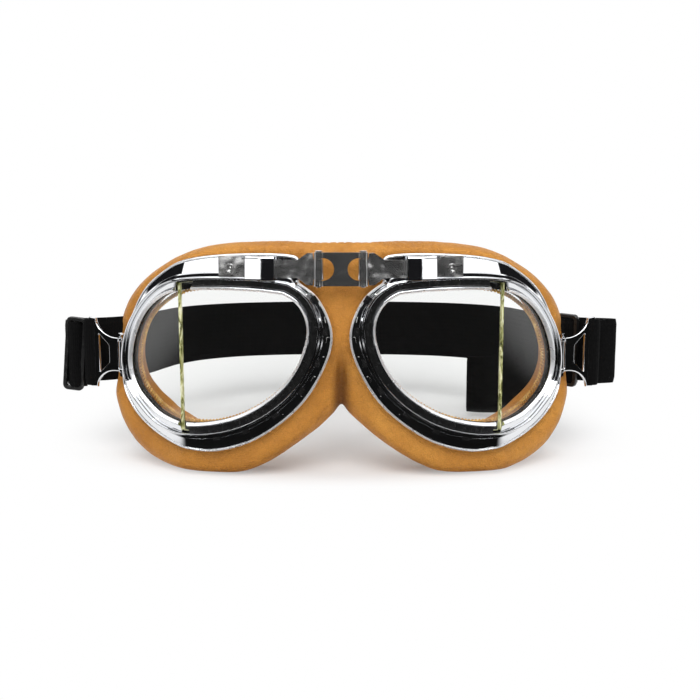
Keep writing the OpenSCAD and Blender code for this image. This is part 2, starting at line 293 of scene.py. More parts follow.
class Nodes:
    """A small helper that strings shader nodes together."""

    def __init__(self, name, data=None):
        self.mat = data or bpy.data.materials.new(name)
        self.mat.use_nodes = True
        self.tree = self.mat.node_tree
        self.bsdf = self.tree.nodes.get("Principled BSDF")

    def add(self, kind, **values):
        node = self.tree.nodes.new(kind)
        for key, value in values.items():
            if key in node.inputs:
                node.inputs[key].default_value = value
            else:
                setattr(node, key, value)
        return node

    def link(self, a, b):
        self.tree.links.new(a, b)

    def feed(self, socket, value):
        """Links the socket to an output, or sets a plain value on it."""
        if hasattr(value, "links"):
            self.link(value, socket)
        else:
            socket.default_value = value

    def coords(self, kind="Object", scale=(1, 1, 1), rotation=(0, 0, 0)):
        tc = self.add("ShaderNodeTexCoord")
        mp = self.add("ShaderNodeMapping")
        mp.inputs["Scale"].default_value = scale
        mp.inputs["Rotation"].default_value = rotation
        self.link(tc.outputs[kind], mp.inputs["Vector"])
        return mp.outputs["Vector"]

    def xyz(self, vector):
        sep = self.add("ShaderNodeSeparateXYZ")
        self.link(vector, sep.inputs[0])
        return sep.outputs

    def noise(self, vector, scale, detail=3.0, rough=0.5, distortion=0.0):
        n = self.add("ShaderNodeTexNoise", Scale=scale, Detail=detail, Roughness=rough, Distortion=distortion)
        self.link(vector, n.inputs["Vector"])
        return n.outputs["Fac"]

    def ramp(self, fac, stops):
        r = self.add("ShaderNodeValToRGB")
        while len(r.color_ramp.elements) < len(stops):
            r.color_ramp.elements.new(0.5)
        for e, (pos, colour) in zip(r.color_ramp.elements, stops):
            e.position = pos
            e.color = colour if len(colour) == 4 else tuple(colour) + (1,)
        self.link(fac, r.inputs["Fac"])
        return r.outputs["Color"]

    def grey(self, fac, low, high, start=0, end=1):
        """A grey that goes from start, where fac is low, to end, where it is high."""
        return self.ramp(fac, [(low, GREY(start)), (high, GREY(end))])

    def math(self, op, *values, clamp=False):
        m = self.add("ShaderNodeMath", operation=op, use_clamp=clamp)
        for socket, v in zip(m.inputs, values):
            self.feed(socket, v)
        return m.outputs[0]

    def one_minus(self, value):
        return self.math("SUBTRACT", 1.0, value)

    def hypot(self, a, b):
        return self.math("SQRT", self.math("ADD", self.product(a, a), self.product(b, b)))

    def step(self, value, low, high):
        """0 below low, 1 above high, smooth between."""
        m = self.add("ShaderNodeMapRange", interpolation_type="SMOOTHSTEP", clamp=True)
        self.link(value, m.inputs["Value"])
        m.inputs["From Min"].default_value, m.inputs["From Max"].default_value = low, high
        return m.outputs["Result"]

    def product(self, *values):
        out = values[0]
        for v in values[1:]:
            out = self.math("MULTIPLY", out, v)
        return out

    def mix(self, fac, a, b, blend="MIX"):
        m = self.add("ShaderNodeMix", data_type="RGBA", blend_type=blend)
        for key, v in (("Factor", fac), ("A", a), ("B", b)):
            self.feed([s for s in m.inputs if s.name == key and (s.type == "RGBA" or key == "Factor")][0], v)
        return [o for o in m.outputs if o.type == "RGBA"][0]

    def mix_shader(self, fac, a, b):
        m = self.add("ShaderNodeMixShader")
        for socket, v in zip(m.inputs, (fac, a, b)):
            self.link(v, socket)
        return m.outputs[0]

    def bump(self, height, strength, distance):
        b = self.add("ShaderNodeBump", Strength=strength, Distance=distance)
        self.link(height, b.inputs["Height"])
        return b.outputs["Normal"]

    def set(self, **values):
        for key, v in values.items():
            self.feed(self.bsdf.inputs[key.replace("_", " ")], v)


def GREY(v):
    return (v, v, v, 1)


def chrome_material():
    n = Nodes("polished_chrome")
    v = n.coords()
    smudge = n.noise(v, 55, 4)
    speck = n.noise(v, 900, 2)
    height = n.math("ADD", n.product(smudge, 0.7), n.product(speck, 0.06))
    n.set(Metallic=1.0, Base_Color=(0.83, 0.84, 0.86, 1), Roughness=n.grey(smudge, 0.35, 0.7, 0.02, 0.065),
          Normal=n.bump(height, 0.12, 0.0006))
    return n.mat


def steel_material():
    n = Nodes("scuffed_bridge_steel")
    scratch = n.noise(n.coords(scale=(1, 1, 5)), 500, 2, 0.5)
    speck = n.noise(n.coords(), 1100, 3, 0.6)
    cloud = n.noise(n.coords(), 70, 2)
    tone = n.mix(n.grey(cloud, 0.35, 0.7), (0.60, 0.60, 0.60, 1), (0.78, 0.775, 0.76, 1))
    tone = n.mix(n.grey(speck, 0.62, 0.72, 0, 0.25), tone, (0.34, 0.32, 0.29, 1))
    n.set(Metallic=0.98, Base_Color=tone, Roughness=n.grey(scratch, 0.35, 0.65, 0.17, 0.22),
          Normal=n.bump(cloud, 0.5, 0.0030))
    return n.mat


def chrome_highlight_material():
    """Chrome edges, rougher than the flats and only part metal: a pale diffuse share paints a highlight on
    them, so that they draw a pale line from every side.
    """
    n = Nodes("buffed_chrome_edge")
    wear_and_glint = n.noise(n.coords(), 160, 3)
    n.set(Metallic=0.72, Base_Color=(0.93, 0.94, 0.96, 1), Roughness=n.grey(wear_and_glint, 0.3, 0.7, 0.22, 0.36))
    return n.mat


def slit_glint_material():
    n = Nodes("bare_pressed_edge")
    wear_and_glint = n.noise(n.coords(), 700, 3)
    # painted highlight: pale grey, mostly diffuse lines stand in for the glints at the slits' edges, their
    # brightness varied by the noise
    n.set(Metallic=0.3, Base_Color=n.grey(wear_and_glint, 0.3, 0.7, 0.4, 0.9), Roughness=0.3)
    return n.mat


def dark_material():
    # black lacquer of the lens seats and rim tabs; on the front rim's channel and over the flange slits it is
    # painted shade
    n = Nodes("black_channel_lacquer")
    dust = n.noise(n.coords(), 600, 4, 0.7)
    n.set(Base_Color=n.grey(dust, 0.3, 0.8, 0.004, 0.016), Roughness=n.grey(dust, 0.3, 0.8, 0.16, 0.34),
          Coat_Weight=0.4)
    return n.mat


def glass_material():
    n = Nodes("clear_pane_glass")
    n.set(Base_Color=(0.985, 0.995, 0.985, 1), Roughness=0.0, IOR=1.45, Transmission_Weight=1.0)
    return n.mat


def glass_edge_material():
    n = Nodes("ground_glass_edge")
    streak = n.noise(n.coords(scale=(1, 1, 0.35)), 420, 4, 0.7, 1.2)
    # painted highlight: the ground edge's greenish colour is streaked with near white, painted glints
    tone = n.ramp(streak, [(0.34, srgb(40, 44, 20)), (0.44, srgb(122, 124, 62)), (0.52, srgb(206, 206, 150)),
                           (0.60, srgb(250, 250, 226))])
    n.set(Base_Color=tone, Roughness=0.32, Normal=n.bump(streak, 0.5, 0.0004))
    return n.mat


def leather_material():
    n = Nodes("tan_grain_leather")
    v = n.coords()
    cells = n.add("ShaderNodeTexVoronoi", Scale=1150, feature="DISTANCE_TO_EDGE")
    n.link(v, cells.inputs["Vector"])
    grain = n.grey(cells.outputs["Distance"], 0.0, 0.16)
    pores = n.noise(v, 1500, 3, 0.6)
    cloud = n.noise(v, 34, 4, 0.6)
    fleck = n.noise(v, 210, 3, 0.6)
    tone = n.ramp(cloud, [(0.30, srgb(190, 126, 46)), (0.52, srgb(208, 142, 56)), (0.75, srgb(222, 158, 68))])
    tone = n.mix(n.grey(fleck, 0.45, 0.75, 0, 0.35), tone, srgb(168, 108, 42))
    tone = n.mix(n.grey(grain, 0.0, 0.7, 0.30, 0), tone, srgb(140, 88, 34))
    # the pleat under the nose is painted darker by its place on the leather: painted shade in the fold
    x, _, z = n.xyz(v)
    middle = n.one_minus(n.step(n.math("ABSOLUTE", x), 0.0004, 0.0055))
    middle = n.product(middle, n.one_minus(n.step(z, 0.036, 0.062)), 0.85)
    tone = n.mix(middle, tone, srgb(92, 50, 14))
    crinkle = n.ramp(n.noise(v, 300, 3, 0.55, 1.6), [(0.40, GREY(0)), (0.52, GREY(1)), (0.62, GREY(0.5))])
    # painted shade: where the crinkles lie low the leather is painted a little darker
    tone = n.mix(n.product(n.one_minus(crinkle), 0.10), tone, srgb(120, 70, 24))
    height = n.math("ADD", n.product(grain, 0.55), n.product(pores, 0.45))
    height = n.math("ADD", height, n.product(crinkle, 1.1))
    rough = n.math("ADD", n.product(n.one_minus(grain), 0.16), n.grey(cloud, 0.3, 0.8, 0.42, 0.54))
    n.set(Base_Color=tone, Roughness=rough, Normal=n.bump(height, 0.55, 0.0004), Specular_IOR_Level=0.36)
    return n.mat


def thread_material():
    n = Nodes("golden_waxed_thread")
    v = n.coords()
    twist = n.noise(v, 2600, 2)
    tone = n.ramp(n.noise(v, 300, 3), [(0.3, srgb(190, 132, 54)), (0.6, srgb(232, 182, 96)),
                                       (0.8, srgb(250, 222, 150))])
    n.set(Base_Color=tone, Roughness=0.5, Normal=n.bump(twist, 0.5, 0.0002), Sheen_Weight=0.3)
    return n.mat


def webbing_material():
    n = Nodes("black_elastic_webbing")
    ribs = []
    for direction, scale in (("X", (420, 0, 0)), ("Y", (0, 150, 0))):
        wave = n.add("ShaderNodeTexWave", wave_type="BANDS", bands_direction=direction, Scale=1.0)
        n.link(n.coords("UV", scale=scale), wave.inputs["Vector"])
        ribs.append(wave.outputs["Fac"])
    fuzz = n.noise(n.coords(), 2400, 3, 0.7)
    height = n.math("ADD", n.product(ribs[1], 0.35), n.product(fuzz, 0.5))
    height = n.math("ADD", n.product(ribs[0], 0.5), height)
    lint = n.noise(n.coords(), 120, 4, 0.7)
    tone = n.mix(n.math("MULTIPLY", height, 0.6, clamp=True), (0.0008, 0.0008, 0.0009, 1),
                 (0.0032, 0.0032, 0.0034, 1))
    tone = n.mix(n.grey(lint, 0.60, 0.85, 0, 0.35), tone, (0.007, 0.007, 0.0075, 1))
    n.set(Base_Color=tone, Roughness=0.82, Normal=n.bump(height, 0.6, 0.0003), Specular_IOR_Level=0.12)
    return n.mat


def black_metal_material():
    n = Nodes("black_coated_metal")
    wear_and_glint = n.noise(n.coords(), 500, 5, 0.7)
    n.set(Base_Color=n.grey(wear_and_glint, 0.55, 0.72, 0.006, 0.03), Roughness=n.grey(wear_and_glint, 0.3, 0.75, 0.24, 0.45),
          Normal=n.bump(wear_and_glint, 0.15, 0.0002), Coat_Weight=0.3)
    return n.mat


def floor_material():
    """Pale to the camera and white emission a little way off. It changes with the kind of ray: mirror rays
    see it almost black in front."""
    n = Nodes("pale_floor")
    n.set(Base_Color=(0.90, 0.90, 0.90, 1), Roughness=0.8, Specular_IOR_Level=0.0)
    x, y, _ = n.xyz(n.coords())
    back = n.product(y, -1.0)
    wide = n.math("ABSOLUTE", x)
    deep = n.math("MAXIMUM", n.product(y, 0.5), n.product(back, 1.6))
    near = n.product(n.step(back, 0.050, 0.065), n.one_minus(n.step(wide, 0.085, 0.11)))
    turn = n.math("ARCTAN2", wide, back)
    far = n.product(n.step(n.hypot(x, y), 0.19, 0.22), n.one_minus(n.step(turn, 1.32, 1.44)))
    rays = n.add("ShaderNodeLightPath").outputs
    white = n.add("ShaderNodeEmission", Strength=1.0).outputs[0]
    shade = n.add("ShaderNodeBsdfDiffuse", Color=(0.005, 0.005, 0.005, 1)).outputs[0]
    fade = n.product(n.step(n.hypot(x, deep), 0.075, 0.14), n.one_minus(rays["Is Diffuse Ray"]))
    pale = n.mix_shader(fade, n.bsdf.outputs[0], white)
    dark = n.product(n.math("MAXIMUM", near, far), rays["Is Glossy Ray"])
    n.link(n.mix_shader(dark, pale, shade), n.tree.nodes["Material Output"].inputs["Surface"])
    return n.mat


CHROME = chrome_material()
STEEL = steel_material()
CHROME_HIGHLIGHT = chrome_highlight_material()
SLIT_GLINT = slit_glint_material()
DARK = dark_material()
GLASS = glass_material()
GLASS_EDGE = glass_edge_material()
LEATHER = leather_material()
THREAD = thread_material()
WEBBING = webbing_material()
BLACK_METAL = black_metal_material()

# ---- frames, rims and seats
FRAME_SECTION = [
    (4.5, 0, 3.0), (5.3, 0, 3.0), (5.5, 0, 1.75), (4.75, 0.16, 1.5), (4.85, 0.175, 0.85), (-1.15, 1, 0.50),
    (-0.9, 1, 0.98), (-0.40, 1, 0.98), (0.0, 1, 0.15), (0.05, 1, -0.9), (-0.7, 1, -1.4), (5.7, 0, -0.35),
    (5.3, 0, -3), (4.5, 0, -3)]
RIM_SECTION = [
    (0, 0, 1.15), (0, 0, 1.5), (0.85, 0, 2.7), (1.35, 0, 2.7), (1.8, 0, 1.85), (1.85, 0, 1.45),
    (4.4, 0, 1.45), (4.4, 0, 1.15)]
SEAT_SECTION = [(0.4, 0, -1.1), (4.4, 0, -1.1), (4.4, 0, -2.9), (0.4, 0, -2.9)]
FINE = 1 / 16


def frame_shell(side_name):
    section, owner = soften(FRAME_SECTION, 0.22, 3)
    # the bead's top takes the chrome with a painted highlight
    mats = [1 if o in (6, 7) else 0 for o in owner]
    ts = np.arange(0, SPANS, FINE)
    rings = []
    for t in ts:
        # the wing over the pane leans back towards its upper edge
        lean = 0.05 * np.clip((t - 3.4) / 0.7, 0, 1) * np.clip((9.1 - t) / 0.9, 0, 1)
        reach = np.linalg.norm(at(FLANGE, t) - at(OPENING, t))
        rings.append([wrap(band(t, q[0], q[1]), q[2] - lean * max(0, q[0] + q[1] * reach - 5 - 0.175 * reach))
                      for q in section])
    name = "frame_shell_" + side_name
    obj = flat_faces(skin(name, rings, [CHROME, CHROME_HIGHLIGHT], SIDES[side_name], ring_mats=mats, auto=50))
    ride(obj, "frame_" + side_name, "chrome", name)


def lens_seat(side_name):
    section, _ = soften(SEAT_SECTION, 0.3, 2)
    ts = np.arange(0, SPANS, FINE)
    obj = skin("lens_seat_" + side_name, rings_on_face(ts, section), [DARK], SIDES[side_name], auto=50)
    ride(obj, "frame_" + side_name, "dark_steel", "lens_seat_" + side_name)


def rim(part, side_name, ends):
    section, owner = soften(RIM_SECTION, 0.3, 3)
    # painted shade: the front rim's channel takes the black material
    channel = 1 if part == "front_rim" else 0
    # the inner chamfer takes the chrome with a painted highlight
    mats = [channel if o in (5, 6) and owner[(k + 1) % len(owner)] in (5, 6) else 2 if o in (1, 2) else 0
            for k, o in enumerate(owner)]
    count = int((ends[1] - ends[0]) / FINE)
    ts = [ends[0] + (ends[1] - ends[0]) * k / count for k in range(count + 1)]
    name = part + "_" + side_name
    obj = skin(name, rings_on_face(ts, section), [CHROME, DARK, CHROME_HIGHLIGHT], SIDES[side_name], closed=False,
               ring_mats=mats, auto=50)
    flat_faces(obj)
    ride(obj, "frame_" + side_name, "chrome", name)


# ---- glass
def clip_half(points, keep, limit):
    """Cuts a closed outline to the side of u = limit that keep says."""
    out = []
    for i, p in enumerate(points):
        q = points[(i + 1) % len(points)]
        inside_p, inside_q = keep * (p[0] - limit) >= 0, keep * (q[0] - limit) >= 0
        if inside_p:
            out.append(p)
        if inside_p != inside_q:
            f = (limit - p[0]) / (q[0] - p[0])
            out.append(p + (q - p) * f)
    return out


def pane(part, side_name, keep, heading, start_u):
    outline = [band(t, 3.7) for t in np.arange(0, SPANS, FINE)]
    outline = clip_half(outline, keep, FOLD_U + keep * FOLD_GAP)
    pts = np.array(outline)
    middle = pts.mean(0)
    half, chamfer = 0.8, 0.16
    a = math.radians(heading)
    origin = face_xy(start_u)
    layers = []
    for inset, w in ((chamfer, -half), (0, -half + chamfer), (0, half - chamfer), (chamfer, half)):
        ring = []
        for p in pts:
            v = middle - p
            q = p + v / np.linalg.norm(v) * inset
            x, y = origin + np.array([math.cos(a), math.sin(a)]) * (q[0] - start_u)
            ring.append((x + w * math.sin(a), y - w * math.cos(a), q[1]))
        layers.append(ring)
    m = len(pts)
    name = part + "_" + side_name
    obj = face_out(new_mesh(name, to_row(layers, SIDES[side_name]), ring_faces(4, m), [GLASS, GLASS_EDGE],
                            [1] * (3 * m) + [0, 0], smooth=False))
    obj.visible_shadow = False
    ride(obj, "frame_" + side_name, "glass", name)


# ---- small slits pressed in the flange, drawn as dark plates of painted shade with painted glints along their edges
def slit(centre_t, length, along, d, s, width=0.9, lift=0.07):
    """A rounded slot lying on the flange; along is its angle from the ring's direction."""
    p0 = band(centre_t, d, s)
    ahead = band(centre_t + 0.05, d, s) - band(centre_t - 0.05, d, s)
    ahead = ahead / np.linalg.norm(ahead)
    across = np.array([-ahead[1], ahead[0]])
    c, k = math.cos(math.radians(along)), math.sin(math.radians(along))
    e1 = ahead * c + across * k
    e2 = -ahead * k + across * c
    height = np.interp(s + d / 12, [0.45, 0.55, 1.0, 1.1], [1.0, 0.72, 0.25, -0.3])
    outline = []
    r = width / 2
    for end, first in ((1, -90), (-1, 90)):
        for a in np.linspace(first, first + 180, 7):
            a = math.radians(a)
            outline.append(e1 * (end * length / 2 + r * math.cos(a)) + e2 * r * math.sin(a))
    verts = [wrap(p0 + q, height + lift) for q in outline] + [wrap(p0 + q, height - 0.4) for q in outline]
    m = len(outline)
    faces = [tuple(range(m)), tuple(range(2 * m - 1, m - 1, -1))]
    faces += [(j, (j + 1) % m, m + (j + 1) % m, m + j) for j in range(m)]
    return verts, faces


def flange_slits(side_name):
    parts, edges = [], []
    for t in (14.45, 15.05, 15.65, 16.2, 16.75, 17.3, 17.85, 0.45, 1.0, 13.6):
        # the thin pale lines beside each slit are painted glints
        edges.append(slit(t, 1.9, 0, 5.75, 0.20, 0.26, 0.10))
        # the dark plates over the cuts are painted shade
        parts.append(slit(t, 2.0, 0, 5.40, 0.20, 0.5))
        edges.append(slit(t + 0.085, 0.9, 75, 5.9, 0.21, 0.26, 0.10))
    # longer dark plates, painted shade as well
    for t, length in ((5.35, 8), (6.3, 4.5), (4.6, 4)):
        parts.append(slit(t, length, 0, 5.1, 0.19, 0.6))
    for name, found, mat, slot in (("flange_slits_", parts, DARK, "dark_steel"),
                                   ("flange_slit_edges_", edges, SLIT_GLINT, "chrome")):
        obj = joined(name + side_name, found, [mat], SIDES[side_name], smooth=False)
        ride(obj, "frame_" + side_name, slot)


# ---- leather
NOSE_DEPTH, TEMPLE_DEPTH = 27, 55


def rear_y(x):
    return NOSE_DEPTH + (TEMPLE_DEPTH - NOSE_DEPTH) * (max(x, 0) / 97) ** 2


def dent(p):
    """How far the clip presses the leather in: 1 beside the clip's bar, 0 away from it."""
    if p[0] < 80:
        return 0
    f = np.clip(1 - (abs(p[1] - 46) - 8) / 9, 0, 1)
    return f * f * (3 - 2 * f)


def pad_section(t, count=36):
    """A smooth closed section of the pad: flange edge, roll, widest point, rear, inner wall, inner front."""
    front = wrap(band(t, -1.6, 1), -2.6)
    inner = wrap(band(t, np.interp(at(OPENING, t)[0], [46, 66], [2.2, 1.2])), -3.4)
    p = at(PAD, t)
    y_back = rear_y(p[0])
    mix = lambda a, b, f: a + (b - a) * f
    wide = np.array([p[0], mix(front[1], y_back, 0.42), p[1]])
    roll = np.array([mix(front[0], p[0], 0.72), front[1] + 0.9, mix(front[2], p[1], 0.72)])
    wide = wide + dent(p) * np.array([-0.9, 3.4, 0])
    roll = roll + dent(p) * np.array([-4.8, 3.3, 0])
    back = np.array([mix(p[0], front[0], 0.30), y_back, mix(p[1], front[2], 0.30)])
    rear = np.array([mix(front[0], inner[0], 0.5), rear_y(front[0]) + 0.6, mix(front[2], inner[2], 0.5)])
    out = np.array([p[0] - inner[0], 0, p[1] - inner[2]])
    splay = (2.5 + 4.5 * np.clip((inner[0] - 20) / 25, 0, 1)) * (1 - 1.02 * np.clip((inner[0] - 54) / 18, 0, 1))
    out *= splay / np.linalg.norm(out)
    deep = np.array([inner[0], rear_y(inner[0]) - 1.4, inner[2]]) + out
    wall = mix(deep, inner, 0.5) + 0.25 * out
    under = mix(inner, front, 0.5) + np.array([0, 0.4, 0])
    pts = [front, roll, wide, back, rear, deep, wall, inner, under]
    n = len(pts)
    out = []
    for k in range(count):
        f = k * n / count
        i = int(f)
        out.append(spline(pts[(i - 1) % n], pts[i], pts[(i + 1) % n], pts[(i + 2) % n], f - i, 0.40))
    return out


def vertex_array(obj, key="co"):
    values = np.empty(len(obj.data.vertices) * 3)
    obj.data.vertices.foreach_get(key, values)
    return values.reshape(-1, 3)


def apply_modifiers(obj):
    dg = bpy.context.evaluated_depsgraph_get()
    me = bpy.data.meshes.new_from_object(obj.evaluated_get(dg))
    obj.modifiers.clear()
    obj.data = me


def bump_field(p, seed, scale):
    return noise.noise(Vector((p[0] * scale + seed, p[1] * scale - seed, p[2] * scale + 2 * seed)))


def wrinkles(obj):
    """Soft creases of the stretched leather, pushed along the normals. Sizes in millimetres."""
    co, no = vertex_array(obj), vertex_array(obj, "normal")
    mm = co / MM
    x, y, z = np.abs(mm[:, 0]), mm[:, 1] - FACE_Y, mm[:, 2]
    push = np.zeros(len(co))
    for i, p in enumerate(mm):
        broad = bump_field(p, 3.1, 0.055)
        fine = bump_field((p[0] * 1.0, p[1] * 0.5, p[2] * 0.8), 7.7, 0.21)
        push[i] = 0.30 * broad + 0.13 * fine
    # short slanting creases on the brow beside the bridge
    for cx, lean, width in ((8, 0.8, 17), (27, -0.7, 15)):
        phase = (x - cx) + lean * (z - 92) + 0.25 * (y - 10)
        zone = np.exp(-((x - cx) / width) ** 2) * np.clip((z - 86) / 5, 0, 1)
        push -= 0.5 * zone * np.clip(np.cos(phase * 2 * math.pi / 3.4 + 2 * np.sin(z * 0.7)), 0, 1) ** 3
    # the pleat under the nose
    zone = np.clip((56 - z) / 14, 0, 1) * np.clip((20 - y) / 10, 0, 1)
    zone = zone * np.clip((z - 36) / 7, 0.1, 1)
    push -= 2.4 * zone * np.exp(-(mm[:, 0] / 1.2) ** 2)
    push += 0.8 * zone * np.exp(-((np.abs(mm[:, 0]) - 2.9) / 1.3) ** 2)
    # puckers where the leather turns round the inner edge
    ring = np.array([wrap(band(t, 1.2), -3.4) for t in np.arange(0, SPANS, 1 / 24)])
    run = np.concatenate([[0], np.cumsum(np.linalg.norm(np.diff(ring, axis=0), axis=1))])
    tree = kdtree.KDTree(len(ring))
    for k, q in enumerate(ring):
        tree.insert(q, k)
    tree.balance()
    for i in range(len(co)):
        _, k, gap = tree.find((x[i], y[i], z[i]))
        if gap < 5:
            push[i] += 0.26 * (1 - gap / 5) * math.cos(run[k] * 2 * math.pi / 3.3)
    co += no * (push * MM)[:, None]
    # the bridge of the nose falls away from the viewer towards the notch
    low = np.clip((62 - z) / 26, 0, 1)
    valley = 6.5 * low * low * np.exp(-(x / 10.5) ** 2) * np.clip((24 - y) / 18, 0, 1)
    co[:, 1] += valley * MM
    obj.data.vertices.foreach_set("co", co.ravel())
    obj.data.update()


def cut(obj, x, keep):
    """A copy of obj with only the part on the side of the plane at x that keep says, its shading kept."""
    piece = obj.copy()
    piece.data = obj.data.copy()
    bpy.context.scene.collection.objects.link(piece)
    bm = bmesh.new()
    bm.from_mesh(piece.data)
    bmesh.ops.bisect_plane(bm, geom=bm.verts[:] + bm.edges[:] + bm.faces[:], plane_co=(x, 0, 0),
                           plane_no=(keep, 0, 0), clear_inner=True, clear_outer=False, dist=1e-7)
    bm.to_mesh(piece.data)
    bm.free()
    return piece


def keep_shading(piece, source):
    """Takes the shading normals of the whole leather, so that the cut doesn't show."""
    m = piece.modifiers.new("shading", "DATA_TRANSFER")
    m.object = source
    m.use_loop_data = True
    m.data_types_loops = {"CUSTOM_NORMAL"}
    m.loop_mapping = "POLYINTERP_NEAREST"
    apply_modifiers(piece)


SEAM_X = 11.0


def leather():
    rings = [pad_section(t) for t in np.arange(0, SPANS, 1 / 8)]
    parts = [skin("pad_ring", rings, [LEATHER], side) for side in (1, -1)]
    bpy.ops.object.select_all(action="DESELECT")
    for p in parts:
        p.select_set(True)
    bpy.context.view_layer.objects.active = parts[0]
    bpy.ops.object.join()
    whole = parts[0]
    whole.name = "leather_whole"
    m = whole.modifiers.new("remesh", "REMESH")
    m.mode = "VOXEL"
    m.voxel_size = 0.9 * MM
    m.use_smooth_shade = True
    s = whole.modifiers.new("smooth", "SMOOTH")
    s.factor, s.iterations = 0.5, 14
    apply_modifiers(whole)
    wrinkles(whole)
    whole.data.materials.clear()
    whole.data.materials.append(LEATHER)
    whole.data.polygons.foreach_set("use_smooth", [True] * len(whole.data.polygons))
    whole.data.update()
    for side_name, side in SIDES.items():
        half = cut(whole, 0, side)
        inner = cut(half, side * SEAM_X * MM, -side)
        outer = cut(half, side * SEAM_X * MM, side)
        bpy.data.objects.remove(half)
        inner.name = "nose_leather_" + side_name
        outer.name = "pad_leather_cover_" + side_name
        for piece in (inner, outer):
            keep_shading(piece, whole)
        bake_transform(inner)
        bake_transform(outer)
        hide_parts("pad_leather_" + side_name, "pad_foam_" + side_name)
        if side > 0:
            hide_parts("nose_pad")
    bpy.data.objects.remove(whole)


# ---- stitching
STITCH_GAP = 1.4


def stitches(side_name):
    """Slanting loops of thread round the eye opening, about one every STITCH_GAP."""
    ts = np.arange(0, SPANS + 1e-6, 1 / 20)
    pts = [wrap(band(t, 0.1), -3.6) for t in ts]
    lengths = [0]
    for a, b in zip(pts, pts[1:]):
        lengths.append(lengths[-1] + np.linalg.norm(b - a))
    count = int(lengths[-1] / STITCH_GAP)
    parts = []
    for k in range(count):
        target = (k + 0.5) * lengths[-1] / count
        t = np.interp(target, lengths, ts)
        p = band(t, 0.25)
        ahead = band(t + 0.02, 0.25) - band(t - 0.02, 0.25)
        ahead /= np.linalg.norm(ahead)
        out = band(t, 1.25) - p
        out /= np.linalg.norm(out)
        # they show through the side pane and hide behind the front rim
        tuck = np.interp(p[0], [52, 64, 74], [-1.3, 0.0, 0.9])
        loop = []
        for f in np.linspace(0, 1, 7):
            q = p + ahead * (f - 0.5) * 1.7 - out * (1.7 * math.sin(math.pi * f) - 0.4 + tuck)
            loop.append(wrap(q, -3.2 - 0.3 * math.cos(math.pi * f)))
        parts.append(tube(loop, 0.40, 6))
    obj = joined("stitching_" + side_name, parts, [THREAD], SIDES[side_name])
    ride(obj, "frame_" + side_name, "thread", "lens_stitching_" + side_name)


def tube(path, radius, sides):
    path = np.array(path)
    n = len(path)
    verts = []
    up = np.array([0.31, 0.55, 0.77])
    for i in range(n):
        d = path[min(i + 1, n - 1)] - path[max(i - 1, 0)]
        d = d / np.linalg.norm(d)
        a = np.cross(d, up)
        a /= np.linalg.norm(a)
        b = np.cross(d, a)
        r = radius * (0.55 if i in (0, n - 1) else 1)
        verts += [path[i] + r * (a * math.cos(q) + b * math.sin(q)) for q in angles(sides)]
    return np.array(verts), ring_faces(n, sides)


# ---- the head strap
STRAP_SIDE = np.array([
    (106.8, 49.4, 45), (113, 50.7, 45), (117.7, 52, 45), (118.3, 53.8, 45), (113.6, 55.4, 45),
    (104, 57.4, 45), (95.5, 65, 44.6), (89, 81, 43.6), (85, 99, 42.4)], float)
STRAP_REAR = np.array([
    (84.8, 100, 42.3), (80, 116, 41.4), (70, 134, 40.2), (52, 149, 39.2), (27, 156, 38.8),
    (0, 158, 38.6)], float)
STRAP_TAIL = np.array([
    (93.4, 63.6, 41), (88.6, 72, 36), (83.6, 86, 28), (77, 102, 20.5), (70, 115, 17), (62, 122, 16)], float)
STRAP_W, STRAP_T = 28.0, 1.6


def route(points, steps):
    n = len(points) - 1
    out = []
    for k in range(n * steps + 1):
        i = min(k // steps, n - 1)
        corners = points[max(i - 1, 0)], points[i], points[i + 1], points[min(i + 2, n)]
        out.append(spline(*corners, k / steps - i, 0.5))
    return np.array(out)


def webbing(name, line, side=1, start=0.0, width=STRAP_W, thick=STRAP_T, closed=False):
    """Upright webbing with rounded edges; UV runs in metres along and across."""
    n = len(line)
    cells = 12
    section = [(0.5, -0.5 + k / cells) for k in range(cells + 1)]
    section += [(-0.5, 0.5 - k / cells) for k in range(cells + 1)]
    verts, uvs = [], []
    run = start
    for i in range(n):
        d = line[(i + 1) % n] - line[i - 1] if closed else line[min(i + 1, n - 1)] - line[max(i - 1, 0)]
        out = np.array([d[1], -d[0], 0]) / math.hypot(d[0], d[1])
        if i:
            run += np.linalg.norm(line[i] - line[i - 1])
        for a, b in section:
            edge = min(1.0, (0.5 - abs(b)) * width / 0.7)
            t = thick * (0.45 + 0.55 * math.sqrt(max(0.0, 1 - (1 - edge) ** 2)))
            ripple = 0.03 * math.sin(run * 2.1) * math.sin(b * 5 * math.pi)
            verts.append(line[i] + out * (a * t + ripple) + np.array([0, 0, b * width]))
            uvs.append((run * MM, (b * width + (100 if a > 0 else 0)) * MM))
    faces = ring_faces(n, len(section), closed)
    obj = face_out(new_mesh(name, to_row(verts, side), faces, [WEBBING], uvs=uvs))
    return smooth_by_angle(obj, 60)


def row_point(p, side):
    return tuple(to_row(p, side)[0])


